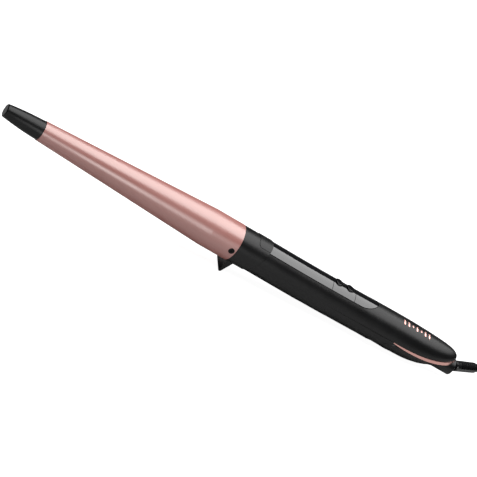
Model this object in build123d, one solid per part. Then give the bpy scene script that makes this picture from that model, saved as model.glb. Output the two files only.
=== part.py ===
"""Conical curling wand: heated barrel, handle, controls, ball-jointed mains lead.

Millimetres, +Z up. The wand lies at rest on its foot and on the heel of its
handle, the tip towards -X. Sub-parts are drawn along a straight axis (X, the tip
face at 0, the control panel towards +Z), then all are tipped into that rest.
"""
from build123d import *
from math import atan2, cos, degrees, pi, radians, sin, sqrt, tan
import os

# ---- Barrel and cool tip ----------------------------------------------------
TIP_FACE_R = 4.35          # flat end of the cool tip
TIP_EDGE_R = 0.9           # rounding round that end
TIP_LENGTH = 25.4
TIP_MID_R = 5.65           # half way along, so that the tip is slightly full
TIP_STEP = 0.25            # tip stands this much inside the barrel's edge
SPIGOT_LENGTH = 7.0
BARREL_TIP_R = 6.6
BARREL_R = 12.5
BARREL_CONE = 123.0        # length of the tapered stretch
BARREL_CYLINDER = 20.4     # length of the straight stretch
BARREL_WALL = 1.0
SCREW_SETBACK = 2.8        # barrel screws from the barrel's rear edge
SCREW_HEAD_R = 2.0
SCREW_SHANK_R = 1.1

# ---- Collar and foot --------------------------------------------------------
COLLAR_R = 12.35
COLLAR_LENGTH = 17.1       # on the axis, to the slanting seam
SEAM_SLOPE = 0.36          # the seam leans to the rear by this much per mm of height
TONGUE_RISE = 0.25         # low raised pad on the collar, in line with the panel
TONGUE_START = 11.6        # from the collar's front face
TONGUE_CORNER_R = 2.4
FOOT_DROP = 18.8           # foot edge below the axis
FOOT_WIDTH = 16.0
FOOT_EDGE = 1.3            # thickness along X at the edge
FOOT_ROOT = 5.2            # thickness along X where it leaves the collar
FOOT_SETBACK = 1.0         # front of the foot behind the collar's front face
SLEEVE_WALL = 2.4
SLEEVE_REACH = 17.0        # inner sleeve into the barrel
SLEEVE_TAIL = 14.0         # inner sleeve behind the seam
SLEEVE_PLAY = 0.35         # inner sleeve inside the handle's wall

# ---- Handle -----------------------------------------------------------------
HANDLE_R = 12.15
HANDLE_WALL = 2.2
HANDLE_RISE = 0.9          # the handle's middle climbs this much by the tail's start
RISE_START = 52.0          # from the seam to where that climb starts
TAIL_START = 106.0         # from the seam to the start of the accent trim
TAIL_LENGTH = 50.6         # from there to the nose of the handle
NOSE_POWER = 2.2           # fullness of the rounded nose
RIM_RISE = 6.0             # how far the nose's lower edge climbs above the side
TRIM_HEIGHT = 2.8          # accent trim at the nose
TRIM_PROUD = 0.6
TRIM_DEPTH = 1.5
SEAM_GAP = 0.2             # joint lines between outer pieces
FIT = 0.05                 # sliding and seating fits
BOSS_R = 2.7
BOSS_BITE = 0.8            # how far a screw boss runs into the shell's wall
REAR_SCREW = 103.0         # rear case screw from the seam
CASE_SCREW_R = 1.1
CASE_HEAD_R = 2.4

# ---- Panel, buttons and electronics -----------------------------------------
PANEL_HALF_WIDTH = 7.75
PANEL_END = 87.8           # panel's rounded end from the seam
PANEL_NOSE = 12.5          # length of that rounding
PANEL_THICK = 1.2
PANEL_SINK = 0.10          # panel face below the handle's round
PANEL_GAP = 0.45           # groove round the panel
PLATE_GAP = 0.3            # groove round the button plate
PLATE_START = 52.1         # button plate from the seam
PLATE_LENGTH = 17.9
PLATE_THICK = 0.65
BUTTON_R = 3.0
BUTTON_PITCH = 8.8
BUTTON_PROUD = 0.8
BUTTON_DISH = 0.35
BUTTON_CLEARANCE = 0.12
BUTTON_TRAVEL = 0.5
BOARD_START = 22.0         # circuit board from the seam
BOARD_LENGTH = 76.0
BOARD_WIDTH = 15.0
BOARD_THICK = 1.2
BOARD_TOP = 4.6            # above the axis
SWITCH_SIDE = 6.0
SWITCH_HEIGHT = 2.6
WIRE_R = 0.7

# ---- Heater -----------------------------------------------------------------
SPREADER_START = 14.0      # from the barrel's front edge
SPREADER_LENGTH = 106.0
SPREADER_GAP = 0.15
TILE_COUNT = 4
TILE_LENGTH = 22.0
TILE_PITCH = 25.0
TILE_WIDTH = 7.0
TILE_THICK = 2.2
STRIP_THICK = 0.4
STRIP_WIDTH = 7.4
STRIP_TAB = 10.0

# ---- Cord swivel, strain relief and cord ------------------------------------
HUB_R = 5.85
HUB_END = 158.5            # hub's rear face from the seam
HUB_LENGTH = 26.0
HUB_EDGE_R = 0.35
BALL_R = 4.6
BALL_SETBACK = 2.0         # ball centre inside the hub's face
BALL_CLEARANCE = 0.12
NECK_R = 2.1
NECK_END = 6.0             # from the ball centre to the start of the relief
RELIEF_ROOT_R = 3.65
RELIEF_TIP_R = 3.5
RELIEF_END = 33.0          # from the ball centre
RELIEF_RIBS = 8
RIB_START = 11.0
RIB_PITCH = 2.35
RIB_GAP = 1.15
RIB_DEPTH = 1.0
CORD_R = 2.5
CORD_SWING = 32.0          # degrees in plan from the handle to the relief
CORD_DROP = 4.0            # degrees that the relief points down

# ---- Worked out -------------------------------------------------------------
BARREL_START = TIP_LENGTH
CONE_END = BARREL_START + BARREL_CONE
BARREL_END = CONE_END + BARREL_CYLINDER
CONE_SLOPE = (BARREL_R - BARREL_TIP_R) / BARREL_CONE
BORE_R = BARREL_R - BARREL_WALL
SEAM = BARREL_END + COLLAR_LENGTH
TAIL = SEAM + TAIL_START
NOSE = TAIL + TAIL_LENGTH
HUB_FACE = SEAM + HUB_END
HUB_START = HUB_FACE - HUB_LENGTH
BALL_X = HUB_FACE - BALL_SETBACK
SLEEVE_R = BORE_R - FIT
COLLAR_BORE = SLEEVE_R - 0.6
INNER_R = HANDLE_R - HANDLE_WALL
LOWER_SHELL_END = SEAM + 147.0


def disc(x, radius, z=0.0):
    """Circle across the axis at x, its centre z above the axis."""
    return Plane(origin=(x, 0, z), x_dir=(0, 1, 0), z_dir=(1, 0, 0)) * Circle(radius)


def oval(x, half_width, half_height, z=0.0):
    """Ellipse across the axis at x."""
    plane = Plane(origin=(x, 0, z), x_dir=(0, 1, 0), z_dir=(1, 0, 0))
    return plane * Ellipse(half_width, half_height)


def rod(x0, x1, radius, y=0.0, z=0.0):
    """Cylinder along X."""
    spot = Plane(origin=(x0, y, z), x_dir=(0, 1, 0), z_dir=(1, 0, 0))
    return spot * Cylinder(radius, x1 - x0, align=(Align.CENTER, Align.CENTER, Align.MIN))


def post(x, y, z0, z1, radius):
    """Cylinder along Z."""
    return Pos(x, y, z0) * Cylinder(radius, z1 - z0, align=(Align.CENTER, Align.CENTER, Align.MIN))


def block(x0, x1, width, z0, z1, y=0.0):
    """Box from x0 to x1 and z0 to z1, centred on y."""
    box = Box(x1 - x0, width, z1 - z0, align=(Align.MIN, Align.CENTER, Align.MIN))
    return Pos(x0, y, z0) * box


def turned(points):
    """Solid of revolution about the axis from (x, radius) points."""
    outline = Polyline(*[(x, 0, r) for x, r in points], close=True)
    return revolve(make_face(outline), Axis.X)


def side_slab(points, half_width=40.0):
    """Prism across the wand from (x, z) points in the side view."""
    face = make_face(Polyline(*[(x, 0, z) for x, z in points], close=True))
    return extrude(face, half_width, dir=(0, 1, 0), both=True)


def seam_side(rear, gap=0.0):
    """Everything behind (rear) or in front of the slanting seam."""
    reach, tall = 400.0, 40.0
    near = SEAM + (gap if rear else -gap)
    far = reach if rear else -reach
    low, high = near - tall * SEAM_SLOPE, near + tall * SEAM_SLOPE
    return side_slab([(low, -tall), (high, tall), (near + far, tall), (near + far, -tall)])


def barrel_outer(x):
    """Barrel's outer radius at x."""
    return min(BARREL_R, BARREL_TIP_R + CONE_SLOPE * (x - BARREL_START))


def middle(x):
    """Height of the handle's middle, and of its parting line, at x."""
    start = SEAM + RISE_START
    share = min(1.0, max(0.0, (x - start) / (TAIL - start)))
    height = 0.1 + (HANDLE_RISE - 0.1) * share
    if x > TAIL:
        height += RIM_RISE * ((x - TAIL) / TAIL_LENGTH) ** 3
    return height


def handle_radius(x):
    """Handle's outer radius at x, closing to nothing at the nose."""
    if x <= TAIL + 4.0:
        return HANDLE_R
    share = min(1.0, (x - TAIL - 4.0) / (TAIL_LENGTH - 4.0))
    return HANDLE_R * (1.0 - share ** NOSE_POWER) ** (1.0 / NOSE_POWER)


def trim_bottom(x):
    """Height of the trim's lower edge at x."""
    if x <= TAIL:
        return middle(x)
    return middle(x) - TRIM_HEIGHT * sqrt((x - TAIL) / TAIL_LENGTH)


FORE_STATIONS = [-14.0, 20.0, 50.0, 75.0, 95.0, TAIL_START + 4.0]


def tail_stations(reach, count=10):
    """Places along the tail where its section is drawn, closer together towards the nose."""
    span = (TAIL_LENGTH - 4.0) * reach
    return [TAIL + 4.0 + span * (1 - (1 - k / count) ** 1.7) for k in range(count + 1)]


def fore_round(inset):
    """Straight part of the handle's round."""
    return loft([disc(SEAM + s, HANDLE_R - inset, middle(SEAM + s)) for s in FORE_STATIONS])


def handle_round(inset=0.0, reach=0.997):
    """Handle's full round, or the hollow inside it when inset."""
    tail = [disc(x, handle_radius(x) - inset, middle(x)) for x in tail_stations(reach)]
    return fore_round(inset) + loft(tail)


# Lower shell: half width and bottom height at places behind the start of the trim.
KEEL = [(4.0, HANDLE_R, -11.25), (9.0, 12.1, -11.2), (14.0, 11.95, -11.1), (20.0, 11.6, -10.8), (26.0, 10.8, -9.9),
        (32.0, 9.4, -8.3), (36.0, 8.0, -6.9), (38.6, 7.0, -6.15), (41.0, 6.3, -5.9)]


def keel_round(inset=0.0):
    """Lower shell's full round, which runs in to the hub."""
    rear = []
    for offset, half_width, bottom in KEEL:
        x = TAIL + offset
        rear.append(oval(x, half_width - inset, middle(x) - bottom - inset, middle(x)))
    return fore_round(inset) + loft(rear)


def above(height, shift=0.0, step=3.0):
    """Everything above the line height(x), moved up by shift; the tail has a corner at each step."""
    places = [SEAM - 30.0, SEAM + RISE_START]
    places += [SEAM + RISE_START + (TAIL_START - RISE_START) * k / 5 for k in range(1, 6)]
    places += [TAIL + step * k for k in range(1, int(TAIL_LENGTH / step) + 1)]
    line = [(x, height(x) + shift) for x in places]
    return side_slab(line + [(NOSE + 30.0, line[-1][1]), (NOSE + 30.0, 60.0), (SEAM - 30.0, 60.0)])


# ---- Barrel group -------------------------------------------------------------
def make_cool_tip():
    base_r = BARREL_TIP_R - TIP_STEP
    face = (0, 0, TIP_FACE_R - TIP_EDGE_R)
    shoulder = (TIP_EDGE_R, 0, TIP_FACE_R)
    bulge = ThreePointArc(shoulder, (TIP_LENGTH / 2, 0, TIP_MID_R), (TIP_LENGTH - FIT, 0, base_r))
    edge = ThreePointArc(face, (TIP_EDGE_R * 0.29, 0, TIP_FACE_R - TIP_EDGE_R * 0.29), shoulder)
    spigot_r = BARREL_TIP_R - BARREL_WALL - FIT
    back = TIP_LENGTH + SPIGOT_LENGTH
    rest = Polyline((TIP_LENGTH - FIT, 0, base_r), (TIP_LENGTH - FIT, 0, spigot_r), (back, 0, spigot_r),
                    (back, 0, spigot_r - 1.4), (6, 0, 2.6), (3, 0, 0), (0, 0, 0), face)
    return revolve(make_face(Wire([edge, bulge, *rest.edges()])), Axis.X)


def make_barrel_tube():
    tube = turned([(BARREL_START, BARREL_TIP_R), (CONE_END, BARREL_R), (BARREL_END, BARREL_R),
                   (BARREL_END, BORE_R), (CONE_END, BORE_R), (BARREL_START, BARREL_TIP_R - BARREL_WALL)])
    for side in (-1, 1):
        tube -= radial(SCREW_HEAD_R + FIT, BORE_R - 2, BARREL_R + 2, side)
    return tube


def radial(radius, r0, r1, side):
    """Cylinder at the barrel screws' place, from radius r0 to r1 on one side."""
    spot = Plane(origin=(BARREL_END - SCREW_SETBACK, side * r0, 0), z_dir=(0, side, 0))
    return spot * Cylinder(radius, r1 - r0, align=(Align.CENTER, Align.CENTER, Align.MIN))


def make_barrel_screws():
    screws = []
    for side in (-1, 1):
        head = radial(SCREW_HEAD_R, BORE_R + FIT, BARREL_R, side)
        shank = radial(SCREW_SHANK_R, BORE_R - SLEEVE_WALL, BORE_R + FIT, side)
        cross = [radial(0.55, BARREL_R - 0.6, BARREL_R + 1, side)]
        for turn in (0, 90):
            slot = Box(0.6, 2.2, 1.0)
            spot = Plane(origin=(BARREL_END - SCREW_SETBACK, side * BARREL_R, 0), z_dir=(0, side, 0))
            cross.append(spot * Rot(0, 0, turn) * slot)
        screws.append(head + shank - cross)
    return Compound(screws)


def make_mount_sleeve():
    front, tail = BARREL_END - SLEEVE_REACH, SEAM + SLEEVE_TAIL
    step = BARREL_END + 0.1
    narrow_r = INNER_R - SLEEVE_PLAY
    narrow = SEAM - 8.0
    bore = SLEEVE_R - SLEEVE_WALL
    sleeve = turned([(front, bore), (front, SLEEVE_R), (step, SLEEVE_R), (step, COLLAR_BORE - FIT),
                     (narrow, COLLAR_BORE - FIT), (narrow, narrow_r), (tail, narrow_r),
                     (tail, narrow_r - 1.6), (narrow, narrow_r - 1.6), (narrow - 2, bore)])
    for side in (-1, 1):
        sleeve -= radial(SCREW_SHANK_R + FIT, 0, BARREL_R, side)
    return sleeve


def make_collar():
    front = BARREL_END + SEAM_GAP
    ring = rod(front, SEAM + 8, COLLAR_R) - rod(front - 1, SEAM - 8.0, COLLAR_BORE)
    ring -= rod(SEAM - 9.0, SEAM + 9, INNER_R)
    ring = ring & seam_side(rear=False, gap=SEAM_GAP / 2)
    pad_start = BARREL_END + TONGUE_START
    pad_end = SEAM + 8
    width = 2 * (PANEL_HALF_WIDTH - 0.15)
    plan = Rectangle(pad_end - pad_start + 6, width, align=(Align.MIN, Align.CENTER))
    plan = fillet(plan.vertices().sort_by(Axis.X)[:2], TONGUE_CORNER_R)
    pad = Pos(pad_start, 0, 4) * extrude(plan, 12)
    pad = pad & rod(pad_start - 1, pad_end, COLLAR_R + TONGUE_RISE) - rod(pad_start - 2, pad_end + 1, COLLAR_R - 1)
    pad = pad & seam_side(rear=False, gap=SEAM_GAP / 2)
    foot_front = front + FOOT_SETBACK
    level = FOOT_EDGE * heel_slope()
    foot = side_slab([(foot_front, -FOOT_DROP), (foot_front + FOOT_EDGE, -FOOT_DROP + level),
                      (foot_front + FOOT_ROOT, -8.0), (foot_front + FOOT_ROOT - 1, -6.0), (foot_front, -6.0)],
                     FOOT_WIDTH / 2)
    foot -= rod(front - 1, SEAM, COLLAR_R - 0.6)
    return ring + pad + foot


# ---- Heater group -------------------------------------------------------------
def spreader_outline(x0, x1):
    gap = BARREL_WALL + SPREADER_GAP
    return turned([(x0, 0), (x0, barrel_outer(x0) - gap), (x1, barrel_outer(x1) - gap), (x1, 0)])


def make_spreader(side):
    x0 = BARREL_START + SPREADER_START
    core = spreader_outline(x0, x0 + SPREADER_LENGTH)
    split = TILE_THICK / 2 + STRIP_THICK + 0.1
    half = block(x0 - 1, x0 + SPREADER_LENGTH + 1, 40, split, 20)
    return core & (half if side > 0 else mirror(half, Plane.XY))


def make_heating_tiles():
    x0 = BARREL_START + SPREADER_START + 3.0
    tiles = []
    for k in range(TILE_COUNT):
        start = x0 + k * TILE_PITCH
        tiles.append(block(start, start + TILE_LENGTH, TILE_WIDTH, -TILE_THICK / 2, TILE_THICK / 2))
    return Compound(tiles)


def make_electrode_strips():
    x0 = BARREL_START + SPREADER_START + 2.0
    x1 = BARREL_START + SPREADER_START + SPREADER_LENGTH
    strips = []
    for side in (-1, 1):
        z = side * (TILE_THICK / 2 + STRIP_THICK / 2)
        body = block(x0, x1, STRIP_WIDTH, z - STRIP_THICK / 2, z + STRIP_THICK / 2)
        tab = block(x1, x1 + STRIP_TAB, 3.0, z - STRIP_THICK / 2, z + STRIP_THICK / 2, y=side * 2.0)
        strips.append(body + tab)
    return Compound(strips)


def make_thermal_fuse():
    x0 = BARREL_START + SPREADER_START + SPREADER_LENGTH + 1.0
    body = rod(x0 + 2, x0 + 12, 1.9, z=5.4)
    return body + rod(x0, x0 + 15, 0.45, z=5.4)


def make_thermistor():
    x0 = BARREL_START + SPREADER_START + SPREADER_LENGTH + 1.0
    bead = Pos(x0 + 2.2, 0, -5.2) * Sphere(1.5)
    return bead + rod(x0 + 2.0, x0 + 12, 0.4, y=0.6, z=-5.2) + rod(x0 + 2.0, x0 + 12, 0.4, y=-0.6, z=-5.2)


# ---- Handle group -------------------------------------------------------------
def panel_plan(margin=0.0):
    """Outline of the panel in plan, grown by margin."""
    end, half = SEAM + PANEL_END + margin, PANEL_HALF_WIDTH + margin
    turn = end - PANEL_NOSE - margin
    nose = EllipticalCenterArc((turn, 0), end - turn, half, start_angle=-90, arc_size=180)
    start = SEAM - 8
    sides = Polyline((turn, half), (start, half), (start, -half), (turn, -half))
    return make_face(Wire([nose, *sides.edges()]))


def panel_body(outer_inset, inner_inset, margin=0.0):
    """Curved slab under the handle's top between two depths."""
    prism = Pos(0, 0, 2) * extrude(panel_plan(margin), 30)
    shell = fore_round(outer_inset) - fore_round(inner_inset)
    return prism & shell & seam_side(rear=True, gap=SEAM_GAP / 2)


def button_places():
    centre = SEAM + PLATE_START + PLATE_LENGTH / 2
    return [centre - BUTTON_PITCH / 2, centre + BUTTON_PITCH / 2]


def button_holes():
    return [post(x, 0, 6, 20, BUTTON_R + BUTTON_CLEARANCE) for x in button_places()]


def plate_space(margin=0.0):
    x0 = SEAM + PLATE_START - margin
    return block(x0, x0 + PLATE_LENGTH + 2 * margin, 40, 4, 30)


def make_control_panel():
    panel = panel_body(PANEL_SINK, PANEL_SINK + PANEL_THICK)
    pocket = fore_round(-1.0) - fore_round(PANEL_SINK + PLATE_THICK + FIT)
    panel -= plate_space() & pocket
    return panel - button_holes()


def make_button_plate():
    plate = panel_body(PANEL_SINK, PANEL_SINK + PLATE_THICK) & plate_space(-PLATE_GAP)
    return plate - button_holes()


def hub_room(clearance=FIT):
    return rod(HUB_START - 1, HUB_FACE + 20, HUB_R + clearance)


def case_screw_places():
    return [SEAM + SLEEVE_TAIL + 4.0, SEAM + REAR_SCREW]


def make_upper_shell():
    hollow = handle_round(HANDLE_WALL, 0.93) - rod(LOWER_SHELL_END - HANDLE_WALL, NOSE, 40)
    shell = (handle_round() & above(middle, step=3.3)) - hollow
    shell = shell & seam_side(rear=True, gap=SEAM_GAP / 2)
    for x in case_screw_places():
        shell += post(x, 0, middle(x) + 0.1, middle(x) + INNER_R + BOSS_BITE, BOSS_R)
        shell -= post(x, 0, middle(x), middle(x) + 6.0, CASE_SCREW_R + FIT)
    recess = Pos(0, 0, 2) * extrude(panel_plan(PANEL_GAP), 30)
    shell -= recess & (fore_round(-2.0) - fore_round(PANEL_SINK + PANEL_THICK + FIT))
    return shell - hub_room() - button_holes()


def make_lower_shell():
    shell = keel_round() - keel_round(HANDLE_WALL)
    shell -= above(trim_bottom, -FIT)
    shell = shell & seam_side(rear=True, gap=SEAM_GAP / 2) - rod(LOWER_SHELL_END, NOSE + 30, 40)
    for x in case_screw_places():
        floor = middle(x) - INNER_R
        shell += post(x, 0, floor - BOSS_BITE, middle(x) - 0.1, BOSS_R + 0.4)
        shell -= post(x, 0, -40, floor + 1.5, CASE_HEAD_R + 0.2)
        shell -= post(x, 0, -40, 20, CASE_SCREW_R + 0.15)
    return shell - hub_room()


def make_case_screws():
    screws = []
    for x in case_screw_places():
        seat = middle(x) - INNER_R + 1.5
        head = post(x, 0, seat - 1.4, seat, CASE_HEAD_R)
        shank = post(x, 0, seat, middle(x) + 5.0, CASE_SCREW_R)
        cross = [Pos(x, 0, seat - 1.4) * Rot(0, 0, turn) * Box(0.6, 3.0, 1.2) for turn in (0, 90)]
        screws.append(head + shank - cross)
    return Compound(screws)


def nose_plan(proud, depth=0.0):
    """Tail's outline in plan: it stands proud by a growing amount, less a constant depth."""
    start = TAIL - 1.0
    steps = [TAIL + 4.0 + (TAIL_LENGTH - 4.0) * k / 12 for k in range(12)]
    side = [(x, handle_radius(x) - depth + proud * (x - TAIL) / TAIL_LENGTH) for x in steps]
    tip = (NOSE + proud - depth, 0)
    curve = Spline(*side, tip, *[(x, -y) for x, y in reversed(side)], tangents=((1, 0), (-1, 0)))
    back = Polyline(side[0], (start, side[0][1]), (start, -side[0][1]), (side[0][0], -side[0][1]))
    return make_face(Wire([curve, *back.edges()]))


def make_accent_trim():
    """Band under the nose of the upper shell; behind the lower shell it closes in to the hub."""
    hollow = extrude(nose_plan(0.0, TRIM_DEPTH), 30, both=True)
    hollow = hollow & block(TAIL - 5, LOWER_SHELL_END + SEAM_GAP, 60, -30, 30)
    band = above(trim_bottom) - above(middle, -FIT)
    band = band & block(TAIL + 2.5, NOSE + 5, 60, -30, 30)
    return (extrude(nose_plan(TRIM_PROUD), 30, both=True) - hollow) & band - hub_room()


# ---- Controls and electronics -------------------------------------------------
def make_button(x):
    """Round dished button with a stem and a holding flange under the shell."""
    top = middle(x) + HANDLE_R - PANEL_SINK + BUTTON_PROUD
    flange_top = middle(x) + sqrt(INNER_R ** 2 - (BUTTON_R + 0.8) ** 2) - 0.15
    body = post(x, 0, flange_top - 0.8, top, BUTTON_R)
    rim = body.edges().filter_by(GeomType.CIRCLE).sort_by(Axis.Z)[-1]
    body = fillet(rim, 0.4)
    dish_r = (BUTTON_R ** 2 + BUTTON_DISH ** 2) / (2 * BUTTON_DISH)
    body -= Pos(x, 0, top + dish_r - BUTTON_DISH) * Sphere(dish_r)
    return body + post(x, 0, flange_top - 0.8, flange_top, BUTTON_R + 0.8)


def board_span():
    return SEAM + BOARD_START, SEAM + BOARD_START + BOARD_LENGTH


def make_circuit_board():
    x0, x1 = board_span()
    return block(x0, x1, BOARD_WIDTH, BOARD_TOP - BOARD_THICK, BOARD_TOP)


def make_tact_switches():
    switches = []
    for x in button_places():
        base = block(x - SWITCH_SIDE / 2, x + SWITCH_SIDE / 2, SWITCH_SIDE, BOARD_TOP, BOARD_TOP + SWITCH_HEIGHT)
        switches.append(base + post(x, 0, BOARD_TOP + 1, BOARD_TOP + SWITCH_HEIGHT + 0.4, 1.6))
    return Compound(switches)


def make_status_leds():
    x0 = SEAM + PLATE_START - 6.0
    leds = []
    for k in range(3):
        x = x0 - 5.0 * k
        leds.append(block(x - 1, x + 1, 1.2, BOARD_TOP, BOARD_TOP + 0.7) + post(x, 0, BOARD_TOP, BOARD_TOP + 1.0, 0.5))
    return Compound(leds)


def make_controller_chip():
    x = SEAM + BOARD_START + 8.0
    body = block(x - 2.5, x + 2.5, 4.0, BOARD_TOP + 0.2, BOARD_TOP + 1.6)
    for k in range(4):
        body += block(x - 2.1 + 1.27 * k, x - 1.7 + 1.27 * k, 6.0, BOARD_TOP, BOARD_TOP + 0.6)
    return body


def make_triac():
    x = SEAM + BOARD_START + 20.0
    low = BOARD_TOP - BOARD_THICK
    return block(x - 5, x + 5, 9.0, low - 4.4, low) + block(x + 5, x + 11, 9.0, low - 1.4, low - 0.2)


def make_film_capacitor():
    x = SEAM + BOARD_START + 56.0
    low = BOARD_TOP - BOARD_THICK
    can = block(x - 6.5, x + 6.5, 6.0, low - 9.0, low)
    return fillet(can.edges().filter_by(Axis.Z), 0.8)


def make_heater_wires():
    """Leads from the electrode tabs to solder pads under the board's front edge."""
    x0 = BARREL_START + SPREADER_START + SPREADER_LENGTH + STRIP_TAB
    x1 = board_span()[0] + 3.0
    wires = []
    for side in (-1, 1):
        z0 = side * (TILE_THICK / 2 + STRIP_THICK / 2)
        z1 = BOARD_TOP - BOARD_THICK - WIRE_R
        wires.append(wire_run([(x0, side * 2.0, z0), (x0 + 18, side * 3.6, z0 + 0.3),
                               (x1 - 14, side * 4.4, z1), (x1, side * 4.6, z1)]))
    return Compound(wires)


def make_supply_wires():
    """Leads from the board's rear edge back to the swivel's contacts."""
    x0, x1 = board_span()[1] - 4.0, HUB_START + 3.0
    wires = []
    for side in (-1, 1):
        z0 = BOARD_TOP - BOARD_THICK - WIRE_R
        bypass = BOSS_R + 0.4 + WIRE_R + 1.6
        wires.append(wire_run([(x0, side * 4.6, z0), (x0 + 6, side * 4.8, z0 - 0.4),
                               (x0 + 12, side * bypass, -0.6), (x1 - 8, side * (bypass - 0.6), -0.9),
                               (x1, side * 2.0, 0.0)]))
    return Compound(wires)


def wire_run(points):
    radii = corner_radii(points)
    path = FilletPolyline(*points, radius=radii)
    start = Vector(*points[1]) - Vector(*points[0])
    return sweep(Plane(origin=points[0], z_dir=start) * Circle(WIRE_R), path)


# ---- Swivel and strain relief --------------------------------------------------
def make_hub_socket():
    hub = rod(HUB_START, HUB_FACE, HUB_R)
    rim = hub.edges().filter_by(GeomType.CIRCLE).sort_by(Axis.X)[-1]
    hub = fillet(rim, HUB_EDGE_R)
    hub -= Pos(BALL_X, 0, 0) * Sphere(BALL_R + BALL_CLEARANCE)
    return hub - rod(HUB_START - 1, BALL_X, 3.9)


def make_slip_contacts():
    """Spring strips behind the ball that carry the current across the swivel."""
    end = BALL_X - BALL_R - 0.3
    strips = []
    for side in (-1, 1):
        strips.append(block(HUB_START + 3.3, end, 1.6, -0.3, 0.3, y=side * 2.0))
    return Compound(strips)


def make_strain_relief():
    """Ball, neck and ribbed sleeve along +X from the ball centre at the origin."""
    body = turned([(0, 0), (0, NECK_R), (NECK_END, NECK_R), (NECK_END, RELIEF_ROOT_R - 0.5),
                   (NECK_END + 0.5, RELIEF_ROOT_R), (RELIEF_END - 4.5, RELIEF_TIP_R),
                   (RELIEF_END - 3.0, CORD_R + 0.3), (RELIEF_END, CORD_R + 0.2), (RELIEF_END, 0)])
    body += Sphere(BALL_R)
    for k in range(RELIEF_RIBS):
        x = RIB_START + RIB_PITCH * k
        groove = rod(x, x + RIB_GAP, 6) - rod(x - 1, x + RIB_GAP + 1, RELIEF_TIP_R - RIB_DEPTH)
        windows = block(x - 1, x + RIB_GAP + 1, 1.3, -6, 6) + block(x - 1, x + RIB_GAP + 1, 12, -0.65, 0.65)
        body -= groove - windows
    return body


# ---- Rest: the wand lies on its foot and heel ----------------------------------
def heel_slope():
    """Slope of the line under the foot's edge and the handle."""
    foot_x = BARREL_END + SEAM_GAP + FOOT_SETBACK
    spots = [(SEAM + s, middle(SEAM + s) - HANDLE_R) for s in (60.0, 80.0, 95.0)]
    spots += [(TAIL + offset, bottom) for offset, _, bottom in KEEL]
    return min((z + FOOT_DROP) / (x - foot_x) for x, z in spots)


REST_TILT = degrees(atan2(heel_slope(), 1.0))
FOOT_X = BARREL_END + SEAM_GAP + FOOT_SETBACK


def rest_point(x, y, z):
    """Where a point of the straight wand lies at rest."""
    spot = REST * Pos(x, y, z)
    return spot.position


TIPPED = Rot(0, REST_TILT, 0)
HUB_REACH = HUB_FACE * cos(radians(REST_TILT)) + (HUB_R - HUB_EDGE_R) * sin(radians(REST_TILT))
TIP_REACH = -(TIP_FACE_R - TIP_EDGE_R) * sin(radians(REST_TILT))
LIFT = FOOT_DROP * cos(radians(REST_TILT)) + FOOT_X * sin(radians(REST_TILT))
REST = Pos(-(HUB_REACH + TIP_REACH) / 2, 0, LIFT) * TIPPED

BALL = rest_point(BALL_X, 0, 0)
SWING = Rot(0, 0, CORD_SWING) * Rot(0, CORD_DROP, 0)
RELIEF_DIR = Vector(cos(radians(CORD_SWING)) * cos(radians(CORD_DROP)),
                    sin(radians(CORD_SWING)) * cos(radians(CORD_DROP)), -sin(radians(CORD_DROP)))
CORD_EXIT = BALL + RELIEF_DIR * RELIEF_END


def corner_radii(points, share=0.45):
    """Radius of each corner of a route, as large as its two runs allow."""
    spots = [Vector(*p) for p in points]
    radii = []
    for before, here, after in zip(spots, spots[1:], spots[2:]):
        first, second = here - before, after - here
        turn = radians(first.get_angle(second))
        radii.append(share * min(first.length, second.length) / tan(turn / 2))
    return radii


# ---- Cord, hank and plug, laid on the table -------------------------------------
# The cord leaves the relief, comes down to the table and runs into a tied oblong hank
# in line with the wand; its last half turn lies over the hank and ends in the plug.
CORD_LEAD = [CORD_EXIT, CORD_EXIT + RELIEF_DIR * 13.0,
             (220.5, 29.6, 4.6), (234.0, 31.2, 3.8), (248.0, 30.6, 3.6)]
CORD_TAIL = [(272.0, -10.5, 18.7), (260.0, -10.9, 20.2), (249.0, -10.0, 22.6), (237.9, -7.4, 23.7),
             (230.4, -0.2, 23.9), (227.7, 10.0, 23.9), (230.4, 20.2, 23.9), (237.9, 27.6, 23.8),
             (247.3, 30.4, 23.9), (258.5, 29.2, 24.6), (268.5, 25.0, 25.9), (277.5, 19.8, 27.4),
             (288.0, 16.4, 28.1)]
HANK_X = (248.0, 294.0)     # centres of the hank's two rounded ends
HANK_Y = 10.0
HANK_FLOOR = 1.1            # the tie passes under the turns
HANK_LAYERS = 4
HANK_TURN_R = (15.5, 20.5)  # middle of the inner and the outer turns
TIE_X = 277.0
TIE_WIDTH = 8.0
TIE_THICK = 1.0
PLUG_TAIL = (288.0, 16.0, 28.1)
PLUG_BOOT = 12.0
PLUG_LENGTH = 33.0
PLUG_FACE = (35.3, 13.7)
PIN_R = 2.0
PIN_LENGTH = 19.0
PIN_ROOT = 12.0             # moulded into the plug's body
PIN_ROOT_R = 1.6
PIN_PITCH = 18.6


def cord_run(points):
    """Tube along straight runs joined by arcs; prints its corner radii."""
    route = [Vector(*p) if isinstance(p, tuple) else p for p in points]
    radii = corner_radii([tuple(v) for v in route])
    print("cord corner radii", [round(r, 1) for r in radii])
    path = FilletPolyline(*route, radius=radii)
    tube = sweep(Plane(origin=route[0], z_dir=route[1] - route[0]) * Circle(CORD_R), path)
    print("cord run length", round(path.length, 1), "volume share",
          round(tube.volume / (path.length * pi * CORD_R ** 2), 4))
    return tube


def hank_outline(radius):
    """Oblong outline round the hank's two ends."""
    x0, x1 = HANK_X
    return Pos((x0 + x1) / 2, HANK_Y) * SlotCenterToCenter(x1 - x0, 2 * radius)


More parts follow.
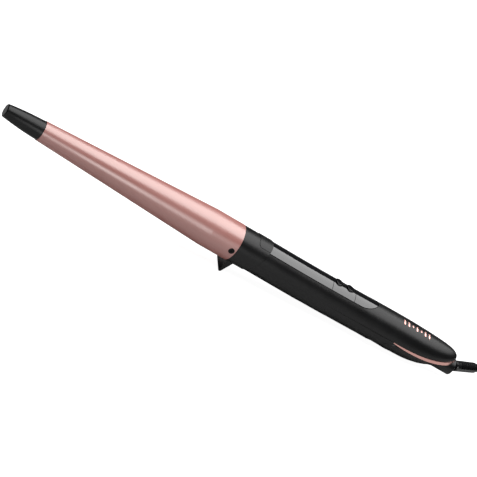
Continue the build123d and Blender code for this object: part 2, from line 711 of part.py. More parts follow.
def make_cord_hank():
    height = HANK_LAYERS * 2 * CORD_R
    outer = extrude(hank_outline(HANK_TURN_R[1] + CORD_R), height)
    inner = extrude(hank_outline(HANK_TURN_R[0] - CORD_R), height)
    ring = outer - inner
    rims = ring.faces().sort_by(Axis.Z)[0].edges() + ring.faces().sort_by(Axis.Z)[-1].edges()
    return Pos(0, 0, HANK_FLOOR) * fillet(rims, CORD_R - 0.3)


def make_cord_tie():
    """Strap round both sides of the hank."""
    width = 2 * (HANK_TURN_R[1] + CORD_R) + 0.2
    height = HANK_LAYERS * 2 * CORD_R + 0.2
    plane = Plane(origin=(TIE_X - TIE_WIDTH / 2, HANK_Y, HANK_FLOOR - 0.1 + height / 2),
                  x_dir=(0, 1, 0), z_dir=(1, 0, 0))
    outer = plane * RectangleRounded(width + 2 * TIE_THICK, height + 2 * TIE_THICK, 2.4)
    inner = plane * RectangleRounded(width, height, 1.4)
    return extrude(outer - inner, TIE_WIDTH)


def plug_section(x, width, height, corner):
    y, z = PLUG_TAIL[1:]
    return Plane(origin=(x, y, z), x_dir=(0, 1, 0), z_dir=(1, 0, 0)) * RectangleRounded(width, height, corner)


def make_plug_body():
    x0, y, z = PLUG_TAIL
    x1 = x0 + PLUG_BOOT
    face = x1 + PLUG_LENGTH
    body = loft([plug_section(x1, 13.0, 10.5, 4.0), plug_section(x1 + 9, 20.0, 13.0, 5.0),
                 plug_section(face - 8, 33.5, PLUG_FACE[1], 6.0), plug_section(face, *PLUG_FACE, 6.2)])
    boot = Plane(origin=(x0, y, z), x_dir=(0, 1, 0), z_dir=(1, 0, 0))
    body += extrude(boot * Circle(CORD_R + 0.7), PLUG_BOOT + 2, taper=-7)
    return body - plug_rods(face - PIN_ROOT, face + 1, PIN_ROOT_R)


def plug_rods(x0, x1, radius):
    y, z = PLUG_TAIL[1:]
    return [rod(x0, x1, radius, y + side * PIN_PITCH / 2, z) for side in (-1, 1)]


def make_plug_pins():
    face = PLUG_TAIL[0] + PLUG_BOOT + PLUG_LENGTH
    pins = []
    roots = plug_rods(face - PIN_ROOT, face, PIN_ROOT_R)
    for pin, root in zip(plug_rods(face, face + PIN_LENGTH, PIN_R), roots):
        end = pin.edges().filter_by(GeomType.CIRCLE).sort_by(Axis.X)[-1]
        pins.append(fillet(end, 1.2) + root)
    return Compound(pins)


# ---- The whole assembly -----------------------------------------------------------
def wand_nodes():
    """Sub-parts drawn along the straight axis."""
    first_button, second_button = button_places()
    return {
        "cool_tip": make_cool_tip(),
        "barrel_tube": make_barrel_tube(),
        "barrel_screws": make_barrel_screws(),
        "mount_sleeve": make_mount_sleeve(),
        "collar": make_collar(),
        "heat_spreader_upper": make_spreader(1),
        "heat_spreader_lower": make_spreader(-1),
        "heating_tiles": make_heating_tiles(),
        "electrode_strips": make_electrode_strips(),
        "thermal_fuse": make_thermal_fuse(),
        "thermistor": make_thermistor(),
        "upper_shell": make_upper_shell(),
        "lower_shell": make_lower_shell(),
        "case_screws": make_case_screws(),
        "accent_trim": make_accent_trim(),
        "control_panel": make_control_panel(),
        "button_plate": make_button_plate(),
        "power_button": make_button(first_button),
        "heat_button": make_button(second_button),
        "circuit_board": make_circuit_board(),
        "tact_switches": make_tact_switches(),
        "status_leds": make_status_leds(),
        "controller_chip": make_controller_chip(),
        "triac": make_triac(),
        "film_capacitor": make_film_capacitor(),
        "heater_wires": make_heater_wires(),
        "supply_wires": make_supply_wires(),
        "hub_socket": make_hub_socket(),
        "slip_contacts": make_slip_contacts(),
    }


def table_nodes():
    """Sub-parts that lie on the table beside the wand."""
    relief = Pos(BALL.X, BALL.Y, BALL.Z) * SWING * make_strain_relief()
    return {
        "strain_relief": relief,
        "cord_tube": cord_run(CORD_LEAD),
        "cord_tail": cord_run(CORD_TAIL),
        "cord_hank": make_cord_hank(),
        "cord_tie": make_cord_tie(),
        "plug_body": make_plug_body(),
        "plug_pins": make_plug_pins(),
    }


def main():
    os.makedirs("parts", exist_ok=True)
    nodes = {name: REST * shape for name, shape in wand_nodes().items()}
    nodes.update(table_nodes())
    for name, shape in nodes.items():
        export_step(shape, f"parts/{name}.step")
    print("rest tilt", round(REST_TILT, 3), "ball", BALL, "exit", CORD_EXIT)


main()
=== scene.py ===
"""Looks of the conical curling wand: camera, cord, finishes, ornament and studio.

Metres, +Z up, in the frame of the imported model. The wand lies on its foot and on
the heel of its handle, its tip towards -X.
"""
from __future__ import annotations

import logging
import math
from dataclasses import dataclass, field
from enum import Enum

import bpy
from mathutils import Matrix, Vector

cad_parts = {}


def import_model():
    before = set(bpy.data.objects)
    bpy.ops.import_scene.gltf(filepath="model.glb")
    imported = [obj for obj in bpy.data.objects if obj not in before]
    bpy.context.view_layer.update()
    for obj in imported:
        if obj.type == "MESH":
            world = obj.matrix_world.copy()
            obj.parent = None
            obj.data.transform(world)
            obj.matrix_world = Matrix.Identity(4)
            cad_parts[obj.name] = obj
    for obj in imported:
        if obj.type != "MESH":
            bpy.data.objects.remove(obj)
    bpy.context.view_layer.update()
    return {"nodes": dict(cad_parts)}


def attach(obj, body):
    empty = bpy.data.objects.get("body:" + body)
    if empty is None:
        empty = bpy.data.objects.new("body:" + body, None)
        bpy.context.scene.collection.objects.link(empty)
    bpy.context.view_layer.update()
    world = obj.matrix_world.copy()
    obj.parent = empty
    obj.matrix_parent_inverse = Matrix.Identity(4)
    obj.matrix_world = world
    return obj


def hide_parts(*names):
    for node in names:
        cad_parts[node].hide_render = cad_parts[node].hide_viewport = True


log = logging.getLogger("wand")


def deselect_all() -> None:
    """Leave nothing selected and no object active for the next operator."""
    if bpy.context.object and bpy.context.object.mode != "OBJECT":
        bpy.ops.object.mode_set(mode="OBJECT")
    bpy.ops.object.select_all(action="DESELECT")


def select_only(obj: bpy.types.Object) -> None:
    """Select one object and make it active.

    Args:
        obj: the object that the next operator acts on.
    """
    deselect_all()
    obj.select_set(True)
    bpy.context.view_layer.objects.active = obj


def bake_place(obj: bpy.types.Object) -> None:
    """Apply an object's place, turn and scale to its mesh.

    Args:
        obj: the object, which ends at the origin, unturned and unscaled.
    """
    select_only(obj)
    bpy.ops.object.transform_apply(location=True, rotation=True, scale=True)


# ---- Shader node groups ----------------------------------------------------------
RING_STRETCH = (1.0, 0.02, 0.02)  # turning marks run across the length and hardly change round it
FLAKE_HUE = (1.0, 0.8, 0.75)      # warm metal flakes in the barrel's coating


class EffectGroup:
    """Shader node group with a sized pattern, built once and used by many finishes."""

    def __init__(self, name: str) -> None:
        """Start an empty group.

        Args:
            name: name of the node group.
        """
        self.tree = bpy.data.node_groups.new(name, "ShaderNodeTree")
        self.nodes = self.tree.nodes
        self.links = self.tree.links
        self.entry = self.nodes.new("NodeGroupInput")
        self.exit = self.nodes.new("NodeGroupOutput")

    def take(self, name: str, kind: str, default: float | None = None) -> None:
        """Add an input socket.

        Args:
            name: name of the socket.
            kind: its socket type.
            default: its value when nothing is linked.
        """
        socket = self.tree.interface.new_socket(name=name, in_out="INPUT", socket_type=kind)
        if default is not None:
            socket.default_value = default

    def give(self, name: str, kind: str) -> None:
        """Add an output socket.

        Args:
            name: name of the socket.
            kind: its socket type.
        """
        self.tree.interface.new_socket(name=name, in_out="OUTPUT", socket_type=kind)

    def noise(self, scale: str, detail: float, roughness: float = 0.5,
              vector: bpy.types.NodeSocket | None = None) -> bpy.types.Node:
        """Noise on the group's coordinates.

        Args:
            scale: name of the input that sets the scale.
            detail: octaves of the noise.
            roughness: weight of the finer octaves.
            vector: socket to read in place of the coordinates themselves.

        Returns:
            The noise texture node.
        """
        node = self.nodes.new("ShaderNodeTexNoise")
        node.inputs["Detail"].default_value = detail
        node.inputs["Roughness"].default_value = roughness
        self.links.new(vector or self.entry.outputs["Coordinates"], node.inputs["Vector"])
        self.links.new(self.entry.outputs[scale], node.inputs["Scale"])
        return node

    def spread(self, source: bpy.types.NodeSocket, low: float, high: float) -> bpy.types.Node:
        """Stretch a band of a pattern over 0 to 1.

        Args:
            source: the socket that carries the pattern.
            low: its value that becomes 0.
            high: its value that becomes 1.

        Returns:
            The map range node.
        """
        node = self.nodes.new("ShaderNodeMapRange")
        node.inputs["From Min"].default_value = low
        node.inputs["From Max"].default_value = high
        self.links.new(source, node.inputs["Value"])
        return node


def grain_group() -> bpy.types.NodeTree:
    """Fine surface grain with slow patches of handling.

    Returns:
        The node group, with a Grain height, a Patches mask and a Speckle mask.
    """
    group = EffectGroup("surface_grain")
    group.take("Coordinates", "NodeSocketVector")
    group.take("Grain Scale", "NodeSocketFloat", 2500.0)
    group.take("Patch Scale", "NodeSocketFloat", 40.0)
    group.give("Grain", "NodeSocketFloat")
    group.give("Patches", "NodeSocketFloat")
    group.give("Speckle", "NodeSocketFloat")
    grain = group.noise("Grain Scale", 3.0)
    handling = group.noise("Patch Scale", 4.0, roughness=0.6)
    patches = group.spread(handling.outputs["Fac"], low=0.35, high=0.68)
    flecks = group.noise("Grain Scale", 0.0)
    speckle = group.spread(flecks.outputs["Fac"], low=0.45, high=0.72)
    group.links.new(grain.outputs["Fac"], group.exit.inputs["Grain"])
    group.links.new(patches.outputs["Result"], group.exit.inputs["Patches"])
    group.links.new(speckle.outputs["Result"], group.exit.inputs["Speckle"])
    return group.tree


def ring_group() -> bpy.types.NodeTree:
    """Turning marks: fine rings across the wand's length.

    Returns:
        The node group, with a Rings height.
    """
    group = EffectGroup("turning_marks")
    group.take("Coordinates", "NodeSocketVector")
    group.take("Grain Scale", "NodeSocketFloat", 900.0)
    group.give("Rings", "NodeSocketFloat")
    flatten = group.nodes.new("ShaderNodeMapping")
    flatten.inputs["Scale"].default_value = RING_STRETCH
    group.links.new(group.entry.outputs["Coordinates"], flatten.inputs["Vector"])
    rings = group.noise("Grain Scale", 2.0, vector=flatten.outputs["Vector"])
    group.links.new(rings.outputs["Fac"], group.exit.inputs["Rings"])
    return group.tree


class Marks(Enum):
    """Kind of fine relief on a finish."""

    GRAIN = "surface_grain"
    RINGS = "turning_marks"


@dataclass(frozen=True)
class Finish:
    """One procedural finish: colour with its variation, gloss and fine relief."""

    name: str
    slot: str
    colour: tuple[float, float, float]
    worn: tuple[float, float, float]
    gloss: tuple[float, float]
    metallic: float = 0.0
    coat: float = 0.0
    coat_roughness: float = 0.1
    ior: float = 1.5
    sheen: float = 0.0
    grain_scale: float = 2500.0
    patch_scale: float = 40.0
    grain_depth: float = 0.00002
    grain_strength: float = 0.25
    flake: float = 0.0
    marks: Marks = Marks.GRAIN
    tint: tuple[float, float, float] = (1.0, 1.0, 1.0)

    def material(self) -> bpy.types.Material:
        """Build the finish once, or find it again.

        Returns:
            The material of this finish.
        """
        found = bpy.data.materials.get(self.name)
        if found:
            return found
        material = bpy.data.materials.new(self.name)
        material.use_nodes = True
        nodes, links = material.node_tree.nodes, material.node_tree.links
        shader = nodes["Principled BSDF"]
        place = nodes.new("ShaderNodeTexCoord")
        grain = self._group(nodes, links, place, Marks.GRAIN)
        self._colour(nodes, links, shader, grain)
        self._gloss(nodes, links, shader, grain)
        self._relief(nodes, links, shader, place, grain)
        shader.inputs["Metallic"].default_value = self.metallic
        shader.inputs["Coat Weight"].default_value = self.coat
        shader.inputs["Coat Roughness"].default_value = self.coat_roughness
        shader.inputs["IOR"].default_value = self.ior
        shader.inputs["Sheen Weight"].default_value = self.sheen
        shader.inputs["Specular Tint"].default_value = (*self.tint, 1.0)
        return material

    def _group(self, nodes: bpy.types.Nodes, links: bpy.types.NodeLinks, place: bpy.types.Node,
               marks: Marks) -> bpy.types.Node:
        """Place one of the shared groups on the object's coordinates.

        Args:
            nodes: the material's nodes.
            links: the material's links.
            place: its texture coordinate node.
            marks: which group.

        Returns:
            The group's node.
        """
        node = nodes.new("ShaderNodeGroup")
        node.node_tree = bpy.data.node_groups[marks.value]
        links.new(place.outputs["Object"], node.inputs["Coordinates"])
        node.inputs["Grain Scale"].default_value = self.grain_scale
        if marks is Marks.GRAIN:
            node.inputs["Patch Scale"].default_value = self.patch_scale
        return node

    def _colour(self, nodes: bpy.types.Nodes, links: bpy.types.NodeLinks, shader: bpy.types.Node,
                grain: bpy.types.Node) -> None:
        """Mix the two colours by the handling patches, and by the flakes if there are any.

        Args:
            nodes: the material's nodes.
            links: the material's links.
            shader: its surface shader.
            grain: the surface grain group's node.
        """
        mix = nodes.new("ShaderNodeMix")
        mix.data_type = "RGBA"
        mix.inputs["A"].default_value = (*self.colour, 1.0)
        mix.inputs["B"].default_value = (*self.worn, 1.0)
        links.new(grain.outputs["Patches"], mix.inputs["Factor"])
        last = mix.outputs["Result"]
        if self.flake:
            bright = nodes.new("ShaderNodeMix")
            bright.data_type = "RGBA"
            bright.blend_type = "ADD"
            bright.inputs["B"].default_value = (*(self.flake * part for part in FLAKE_HUE), 1.0)
            links.new(grain.outputs["Speckle"], bright.inputs["Factor"])
            links.new(last, bright.inputs["A"])
            last = bright.outputs["Result"]
        links.new(last, shader.inputs["Base Color"])

    def _gloss(self, nodes: bpy.types.Nodes, links: bpy.types.NodeLinks, shader: bpy.types.Node,
               grain: bpy.types.Node) -> None:
        """Vary the roughness between its two ends by the handling patches.

        Args:
            nodes: the material's nodes.
            links: the material's links.
            shader: its surface shader.
            grain: the surface grain group's node.
        """
        gloss = nodes.new("ShaderNodeMapRange")
        gloss.inputs["To Min"].default_value = self.gloss[0]
        gloss.inputs["To Max"].default_value = self.gloss[1]
        links.new(grain.outputs["Patches"], gloss.inputs["Value"])
        links.new(gloss.outputs["Result"], shader.inputs["Roughness"])

    def _relief(self, nodes: bpy.types.Nodes, links: bpy.types.NodeLinks, shader: bpy.types.Node,
                place: bpy.types.Node, grain: bpy.types.Node) -> None:
        """Raise the fine relief, as grain or as turning marks.

        Args:
            nodes: the material's nodes.
            links: the material's links.
            shader: its surface shader.
            place: the material's texture coordinate node.
            grain: the surface grain group's node.
        """
        bump = nodes.new("ShaderNodeBump")
        bump.inputs["Distance"].default_value = self.grain_depth
        bump.inputs["Strength"].default_value = self.grain_strength
        if self.marks is Marks.RINGS:
            rings = self._group(nodes, links, place, Marks.RINGS)
            links.new(rings.outputs["Rings"], bump.inputs["Height"])
        else:
            links.new(grain.outputs["Grain"], bump.inputs["Height"])
        links.new(bump.outputs["Normal"], shader.inputs["Normal"])


# ---- Finishes --------------------------------------------------------------------
# Name, slot, colour, worn colour and the two ends of the roughness, then what differs from the usual.
MATT_BLACK = Finish("matt_black", "black_matte", (0.0030, 0.0030, 0.0033), (0.0040, 0.0040, 0.0044),
                    (0.33, 0.38), ior=1.42, grain_scale=3600.0, grain_strength=0.2)
ROSE_COATING = Finish("rose_coating", "rose_barrel", (0.46, 0.180, 0.158), (0.48, 0.190, 0.168),
                      (0.30, 0.35), ior=2.3, flake=0.02, tint=(1.0, 0.95, 0.92), grain_scale=5200.0,
                      grain_strength=0.15)
ROSE_PLATING = Finish("rose_plating", "rose_trim", (0.82, 0.46, 0.41), (0.80, 0.44, 0.39),
                      (0.24, 0.32), metallic=1.0, grain_scale=1800.0, grain_strength=0.12, marks=Marks.RINGS)
PIANO_BLACK = Finish("piano_black", "black_gloss", (0.004, 0.004, 0.005), (0.005, 0.005, 0.006),
                     (0.05, 0.09), ior=1.8, grain_scale=900.0, grain_strength=0.03)
BUTTON_BLACK = Finish("button_black", "button_gloss", (0.004, 0.004, 0.005), (0.005, 0.005, 0.006),
                      (0.08, 0.13), ior=1.7, grain_scale=2400.0, grain_strength=0.06)
RELIEF_RUBBER = Finish("relief_rubber", "cord_rubber", (0.0045, 0.0045, 0.0050), (0.0065, 0.0065, 0.0070),
                       (0.26, 0.34), ior=1.5, grain_scale=3000.0, grain_strength=0.12)
CORD_RUBBER = Finish("cord_rubber", "cord_rubber", (0.0085, 0.0085, 0.0095), (0.012, 0.012, 0.013),
                     (0.42, 0.52), sheen=0.05, grain_scale=3000.0, grain_strength=0.3)
TIE_STRAP = Finish("tie_strap", "tie_rubber", (0.018, 0.018, 0.020), (0.026, 0.026, 0.028),
                   (0.65, 0.8), sheen=0.2, grain_scale=2600.0, grain_strength=0.8)
PLUG_PLASTIC = Finish("plug_plastic", "plug_plastic", (0.011, 0.011, 0.012), (0.015, 0.015, 0.016),
                      (0.4, 0.5), grain_scale=2200.0, grain_strength=0.35)
PIN_NICKEL = Finish("pin_nickel", "pin_metal", (0.60, 0.57, 0.50), (0.52, 0.49, 0.42),
                    (0.18, 0.30), metallic=1.0, grain_scale=1500.0, grain_strength=0.1, marks=Marks.RINGS)
DARK_STEEL = Finish("dark_steel", "dark_steel", (0.016, 0.015, 0.015), (0.028, 0.026, 0.026),
                    (0.30, 0.42), metallic=1.0, grain_scale=2500.0, grain_strength=0.2)
SCREW_BLACK = Finish("screw_black", "dark_steel", (0.0030, 0.0030, 0.0032), (0.0045, 0.0045, 0.0048),
                     (0.5, 0.6), ior=1.3, grain_scale=2800.0, grain_strength=0.3)
HEATPROOF = Finish("heatproof_plastic", "heatproof_plastic", (0.012, 0.012, 0.012), (0.02, 0.019, 0.018),
                   (0.5, 0.62), grain_scale=1800.0, grain_strength=0.5)
ALUMINIUM = Finish("plain_aluminium", "cast_aluminium", (0.70, 0.70, 0.72), (0.60, 0.60, 0.62),
                   (0.3, 0.42), metallic=1.0, grain_scale=1200.0, grain_strength=0.3)
CERAMIC = Finish("fired_ceramic", "ceramic", (0.62, 0.57, 0.50), (0.54, 0.49, 0.42),
                 (0.5, 0.7), grain_scale=2000.0, grain_strength=0.4)
BRASS = Finish("plain_brass", "brass", (0.78, 0.57, 0.26), (0.60, 0.42, 0.18),
               (0.22, 0.36), metallic=1.0, grain_scale=1500.0, grain_strength=0.2)
GLASS_BEAD = Finish("glass_bead", "glass_bead", (0.55, 0.36, 0.16), (0.48, 0.30, 0.12),
                    (0.05, 0.12), coat=0.6, grain_scale=800.0, grain_strength=0.05)
BOARD_GREEN = Finish("board_green", "board_green", (0.012, 0.10, 0.035), (0.016, 0.13, 0.045),
                     (0.28, 0.4), coat=0.3, grain_scale=1400.0, grain_strength=0.3)
DARK_PLASTIC = Finish("dark_plastic", "dark_plastic", (0.015, 0.015, 0.016), (0.022, 0.022, 0.022),
                      (0.4, 0.55), grain_scale=3000.0, grain_strength=0.4)
LENS = Finish("indicator_lens", "lens", (0.80, 0.79, 0.74), (0.74, 0.73, 0.68),
              (0.15, 0.25), coat=0.4, grain_scale=1000.0, grain_strength=0.05)
CAPACITOR = Finish("capacitor_case", "capacitor_case", (0.62, 0.42, 0.03), (0.55, 0.36, 0.025),
                   (0.25, 0.35), coat=0.2, grain_scale=1500.0, grain_strength=0.2)
INSULATION = Finish("wire_insulation", "wire_insulation", (0.62, 0.58, 0.50), (0.54, 0.50, 0.42),
                    (0.45, 0.6), sheen=0.1, grain_scale=2600.0, grain_strength=0.4)
STUDIO_PAPER = Finish("studio_paper", "", (0.45, 0.45, 0.45), (0.47, 0.47, 0.47), (0.85, 0.95),
                      grain_scale=600.0, patch_scale=3.0, grain_strength=0.02)


@dataclass
class SubAssembly:
    """CAD nodes that share a place on the wand, each with its finish."""

    title: str
    finishes: dict[str, Finish]

    def dress(self, nodes: dict[str, bpy.types.Object]) -> None:
        """Give each node its finish.

        Args:
            nodes: the frame's CAD nodes by name.
        """
        for name, finish in self.finishes.items():
            node = nodes[name]
            node.data.materials.clear()
            node.data.materials.append(finish.material())
            log.info("%s: %s in %s", self.title, name, finish.name)


@dataclass
class BarrelGroup(SubAssembly):
    """Cool tip, coated barrel, its screws and the collar with the stand foot."""

    title: str = "barrel"
    finishes: dict[str, Finish] = field(default_factory=lambda: {
        "cool_tip": MATT_BLACK, "barrel_tube": ROSE_COATING, "barrel_screws": SCREW_BLACK,
        "mount_sleeve": HEATPROOF, "collar": MATT_BLACK})


@dataclass
class HeaterGroup(SubAssembly):
    """Heater inside the barrel."""

    title: str = "heater"
    finishes: dict[str, Finish] = field(default_factory=lambda: {
        "heat_spreader_upper": ALUMINIUM, "heat_spreader_lower": ALUMINIUM, "heating_tiles": CERAMIC,
        "electrode_strips": BRASS, "thermal_fuse": BRASS, "thermistor": GLASS_BEAD,
        "heater_wires": INSULATION})


@dataclass
class HandleGroup(SubAssembly):
    """Handle shells, accent trim and hub."""

    title: str = "handle"
    finishes: dict[str, Finish] = field(default_factory=lambda: {
        "upper_shell": MATT_BLACK, "lower_shell": MATT_BLACK, "case_screws": DARK_STEEL,
        "accent_trim": ROSE_PLATING, "hub_socket": MATT_BLACK, "slip_contacts": BRASS})


@dataclass
class ControlGroup(SubAssembly):
    """Glossy panel, buttons and the electronics under them."""

    title: str = "controls"
    finishes: dict[str, Finish] = field(default_factory=lambda: {
        "control_panel": PIANO_BLACK, "button_plate": PIANO_BLACK, "power_button": BUTTON_BLACK,
        "heat_button": BUTTON_BLACK, "circuit_board": BOARD_GREEN, "tact_switches": DARK_PLASTIC,
        "status_leds": LENS, "controller_chip": DARK_PLASTIC, "triac": DARK_PLASTIC,
        "film_capacitor": CAPACITOR, "supply_wires": INSULATION})


# ---- Camera ----------------------------------------------------------------------
@dataclass
class WandCamera:
    """Long lens, high on the tip side, rolled so that the wand runs up to the right."""

    place: tuple[float, float, float] = (-0.494934, -1.14027, 0.657264)
    ahead: tuple[float, float, float] = (0.353129, 0.817371, -0.455197)
    right: tuple[float, float, float] = (0.834154, -0.054746, 0.548808)
    field_of_view: float = 12.10
    sensor_width: float = 36.0  # millimetres
    clip: tuple[float, float] = (0.05, 20.0)

    def make(self) -> None:
        """Add the camera and make it the scene's."""
        data = bpy.data.cameras.new("wand_camera")
        data.sensor_width = self.sensor_width
        data.angle = math.radians(self.field_of_view)
        data.clip_start, data.clip_end = self.clip
        camera = bpy.data.objects.new("wand_camera", data)
        bpy.context.scene.collection.objects.link(camera)
        back = -Vector(self.ahead).normalized()
        side = Vector(self.right).normalized()
        turn = Matrix((side, back.cross(side), back)).transposed()
        camera.matrix_world = Matrix.Translation(self.place) @ turn.to_4x4()
        bpy.context.scene.camera = camera
        log.info("camera at %s", self.place)


# ---- Cord set --------------------------------------------------------------------
class Lane(Enum):
    """Lane of the hank, by its radius round the ends."""

    INNER = 0.0155
    OUTER = 0.0205


@dataclass(frozen=True)
class LaneShift:
    """Stretch of the hank over which the cord moves to another lane or layer."""

    first: int
    last: int
    lane: Lane
    layer: int


@dataclass
class CordSet(SubAssembly):
    """Mains cord: lead, tied oblong hank, tail and plug, all one length of cord."""

    title: str = "cord set"
    finishes: dict[str, Finish] = field(default_factory=lambda: {
        "strain_relief": RELIEF_RUBBER, "cord_tube": CORD_RUBBER, "cord_tail": CORD_RUBBER,
        "cord_hank": CORD_RUBBER, "cord_tie": TIE_STRAP, "plug_body": PLUG_PLASTIC, "plug_pins": PIN_NICKEL})
    exit: tuple[float, float, float] = (0.19779, 0.01744, 0.00676)
    diameter: float = 0.005
    length: float = 1.56
    lead: tuple[tuple[float, float, float], ...] = (
        (0.19779, 0.01744, 0.00676), (0.20879, 0.02432, 0.00586), (0.2205, 0.0296, 0.0046),
        (0.2340, 0.0312, 0.0038), (0.2480, 0.0306, 0.0036))
    tail: tuple[tuple[float, float, float], ...] = (
        (0.2720, -0.0105, 0.0187), (0.2600, -0.0109, 0.0202), (0.2490, -0.0100, 0.0226),
        (0.2379, -0.0074, 0.0237), (0.2304, -0.0002, 0.0239), (0.2277, 0.0100, 0.0239),
        (0.2304, 0.0202, 0.0239), (0.2379, 0.0276, 0.0238), (0.2473, 0.0304, 0.0239),
        (0.2585, 0.0292, 0.0246), (0.2685, 0.0250, 0.0259), (0.2775, 0.0198, 0.0274),
        (0.2880, 0.0164, 0.0281))
    end_near: float = 0.248
    end_far: float = 0.294
    middle: float = 0.010
    floor: float = 0.0036
    turn_in: float = 0.0115
    bend_stations: int = 6  # control points round each end of the hank
    stations: int = 105
    shifts: tuple[LaneShift, ...] = (
        LaneShift(13, 15, Lane.INNER, 0), LaneShift(26, 28, Lane.INNER, 1),
        LaneShift(41, 42, Lane.OUTER, 1), LaneShift(55, 56, Lane.OUTER, 2),
        LaneShift(69, 71, Lane.INNER, 2), LaneShift(82, 84, Lane.INNER, 3),
        LaneShift(96, 97, Lane.OUTER, 3))

    def lay_of(self, station: int) -> tuple[float, float]:
        """Where the cord lies in the hank's section at a station.

        Args:
            station: count of stations from the start of the hank.

        Returns:
            The radius of its lane and its height.
        """
        lane, layer = Lane.OUTER.value, 0.0
        for shift in self.shifts:
            share = min(1.0, max(0.0, (station - shift.first) / (shift.last - shift.first)))
            lane += (shift.lane.value - lane) * share
            layer += (shift.layer - layer) * share
        return lane, self.floor + layer * self.diameter

    def station_point(self, station: int) -> tuple[float, float, float]:
        """Control point of the cord at a station of the hank.

        Half a lap is the two ends of a straight and then the bend after it.

        Args:
            station: count of stations from the start of the hank.

        Returns:
            The point in the frame.
        """
        lane, height = self.lay_of(station)
        half_lap = 2 + self.bend_stations
        returning, step = divmod(station % (2 * half_lap), half_lap)
        side = -1.0 if returning else 1.0
        if step < 2:
            ends = (self.end_near + self.turn_in, self.end_far - self.turn_in)
            return ends[step ^ returning], self.middle + side * lane, height
        pitch = 180.0 / self.bend_stations
        angle = math.radians(side * 90.0 - pitch / 2 - pitch * (step - 2))
        reach = lane / math.cos(math.radians(pitch / 2))
        centre = self.end_near if returning else self.end_far
        return centre + reach * math.cos(angle), self.middle + reach * math.sin(angle), height

    def make_cord(self) -> None:
        """Lay the whole cord as one smooth curve."""
        route = list(self.lead)
        route += [self.station_point(station) for station in range(self.stations)]
        route += list(self.tail)
        curve = bpy.data.curves.new("mains_cord", "CURVE")
        curve.dimensions = "3D"
        curve.bevel_depth = self.diameter / 2
        curve.bevel_resolution = 5
        curve.resolution_u = 6
        curve.use_fill_caps = True
        spline = curve.splines.new("NURBS")
        spline.points.add(len(route) - 1)
        for point, place in zip(spline.points, route):
            point.co = (*place, 1.0)
        spline.order_u = 3
        spline.use_endpoint_u = True
        cord = bpy.data.objects.new("mains_cord", curve)
        bpy.context.scene.collection.objects.link(cord)
        cord.data.materials.append(CORD_RUBBER.material())
        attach(cord, "cord_set")
        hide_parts("cord_tube", "cord_tail", "cord_hank")
        log.info("%s: %s with %d points", self.title, cord.name, len(route))


# ---- Ornament --------------------------------------------------------------------
@dataclass
class TailOrnament:
    """Row of plain rose bars inlaid on top of the tail."""

    tilt: float = 3.226
    tip: tuple[float, float, float] = (-0.171985, 0.0, 0.028334)
    start: float = 0.2950
    side: float = -0.0026
    widths: tuple[float, ...] = (0.0038, 0.0038, 0.0018, 0.0038, 0.0018, 0.0038, 0.0038)
    pitch: float = 0.0034
    bar: float = 0.0011
    corner: float = 0.4  # rounding of a corner and width of a border, as shares of the bar
    border: float = 0.2
    corner_segments: int = 5
    thickness: float = 0.00012
    lift: float = 0.00001
    above: float = 0.02
    smooth_under: float = 40.0

    def spot(self, along: float, across: float, up: float) -> Vector:
        """Point on the wand.

        Args:
            along: distance from the tip on the wand's axis.
            across: distance to its far side.
            up: distance above the axis.

        Returns:
            The point in the frame.
        """
        turn = Matrix.Rotation(math.radians(self.tilt), 3, "Y")
        return Vector(self.tip) + turn @ Vector((along, across, up))

    def make_bar(self, index: int, width: float, shell: bpy.types.Object) -> bpy.types.Object:
        """One bar, wrapped on the shell.

        Args:
            index: its place in the row.
            width: its length across the wand.
            shell: the handle's upper shell, which it follows.

        Returns:
            The bar.
        """
        deselect_all()
        place = self.spot(self.start + index * self.pitch, self.side, self.above)
        bpy.ops.mesh.primitive_plane_add(size=1.0, location=place)
        bar = bpy.context.object
        bar.name = f"tail_bar_{index}"
        bar.scale = (self.bar, width, 1.0)
        bake_place(bar)
        bpy.ops.object.mode_set(mode="EDIT")
        bpy.ops.mesh.select_all(action="SELECT")
        bpy.ops.mesh.bevel(offset=self.bar * self.corner, segments=self.corner_segments, affect="VERTICES")
        bpy.ops.mesh.select_all(action="SELECT")
        for _ in range(2):
            bpy.ops.mesh.inset(thickness=self.bar * self.border)
        bpy.ops.object.mode_set(mode="OBJECT")
        wrap = bar.modifiers.new("wrap", "SHRINKWRAP")
        wrap.target = shell
        wrap.wrap_method = "PROJECT"
        wrap.use_project_z = True
        wrap.use_negative_direction = True
        wrap.use_positive_direction = False
        wrap.offset = self.lift
        body = bar.modifiers.new("body", "SOLIDIFY")
        body.thickness = self.thickness
        body.offset = 1.0
        for modifier in ("wrap", "body"):
            bpy.ops.object.modifier_apply(modifier=modifier)
        bpy.ops.object.shade_smooth_by_angle(angle=math.radians(self.smooth_under))
        bar.data.materials.append(ROSE_PLATING.material())
        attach(bar, "wand")
        return bar

    def make(self, shell: bpy.types.Object) -> None:
        """Make the whole row.

        Args:
            shell: the handle's upper shell.
        """
        for index, width in enumerate(self.widths):
            bar = self.make_bar(index, width, shell)
            log.info("ornament: %s", bar.name)


# ---- Studio ----------------------------------------------------------------------
@dataclass(frozen=True)
class SoftBox:
    """Rectangular soft light."""

    name: str
    place: tuple[float, float, float]
    aim: tuple[float, float, float]
    width: float
    depth: float
    radiance: float

    def make(self) -> None:
        """Hang the light, turned to what it is aimed at."""
        data = bpy.data.lights.new(self.name, "AREA")
        data.shape = "RECTANGLE"
        data.size, data.size_y = self.width, self.depth
        data.energy = self.radiance * math.pi * self.width * self.depth
        light = bpy.data.objects.new(self.name, data)
        bpy.context.scene.collection.objects.link(light)
        towards = Vector(self.aim) - Vector(self.place)
        light.rotation_euler = towards.to_track_quat("-Z", "Y").to_euler()
        light.location = self.place
        log.info("light %s", self.name)


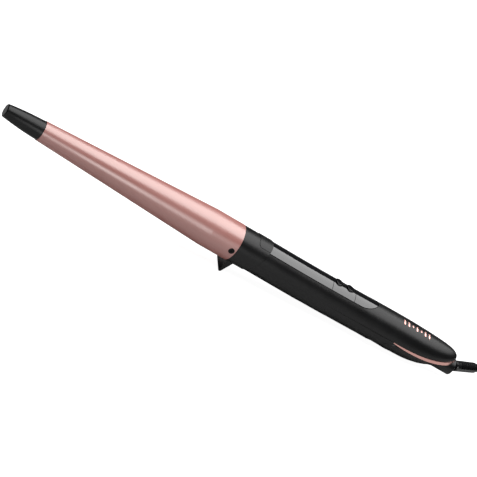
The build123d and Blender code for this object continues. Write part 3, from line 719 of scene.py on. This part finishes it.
@dataclass
class Studio:
    """Pale floor, even surroundings and the soft lights."""

    floor_size: float = 8.0
    floor_drop: float = 0.0003
    surroundings: float = 0.04
    glow: float = 0.95
    lights: tuple[SoftBox, ...] = (
        SoftBox("overhead", (0.45, 0.15, 0.95), (0.45, 0.15, 0.0), 1.6, 1.3, 3.3),
        SoftBox("front_strip", (0.20, -1.20, 0.26), (-0.06, 0.0, 0.02), 0.30, 0.46, 5.2))

    def make_floor(self) -> None:
        """Lay the floor with its pale, faintly mottled finish."""
        deselect_all()
        bpy.ops.mesh.primitive_plane_add(size=self.floor_size, location=(0.0, 0.0, -self.floor_drop))
        floor = bpy.context.object
        floor.name = "studio_floor"
        bake_place(floor)
        paper = STUDIO_PAPER.material()
        self.backlight(paper)
        floor.data.materials.append(paper)

    def backlight(self, paper: bpy.types.Material) -> None:
        """Let the paper glow for the lens alone, so that it looks white and lights nothing.

        Args:
            paper: the floor's material.
        """
        nodes, links = paper.node_tree.nodes, paper.node_tree.links
        path = nodes.new("ShaderNodeLightPath")
        strength = nodes.new("ShaderNodeMath")
        strength.operation = "MULTIPLY"
        strength.inputs[1].default_value = self.glow
        shader = nodes["Principled BSDF"]
        shader.inputs["Emission Color"].default_value = (1.0, 1.0, 1.0, 1.0)
        links.new(path.outputs["Is Camera Ray"], strength.inputs[0])
        links.new(strength.outputs["Value"], shader.inputs["Emission Strength"])

    def make(self) -> None:
        """Set up the floor, the surroundings and the lights."""
        self.make_floor()
        world = bpy.data.worlds.new("studio_air")
        world.use_nodes = True
        air = world.node_tree.nodes["Background"]
        air.inputs["Color"].default_value = (1.0, 1.0, 1.0, 1.0)
        air.inputs["Strength"].default_value = self.surroundings
        bpy.context.scene.world = world
        for light in self.lights:
            light.make()
        bpy.context.scene.view_settings.view_transform = "Standard"


def main() -> None:
    """Build the whole scene in order."""
    logging.basicConfig(level=logging.INFO, format="%(name)s: %(message)s")
    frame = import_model()
    nodes = frame["nodes"]
    grain_group()
    ring_group()
    WandCamera().make()
    cords = CordSet()
    cords.dress(nodes)
    cords.make_cord()
    for group in (BarrelGroup(), HeaterGroup(), HandleGroup(), ControlGroup()):
        group.dress(nodes)
    TailOrnament().make(nodes["upper_shell"])
    Studio().make()


if __name__ == "__main__":
    main()
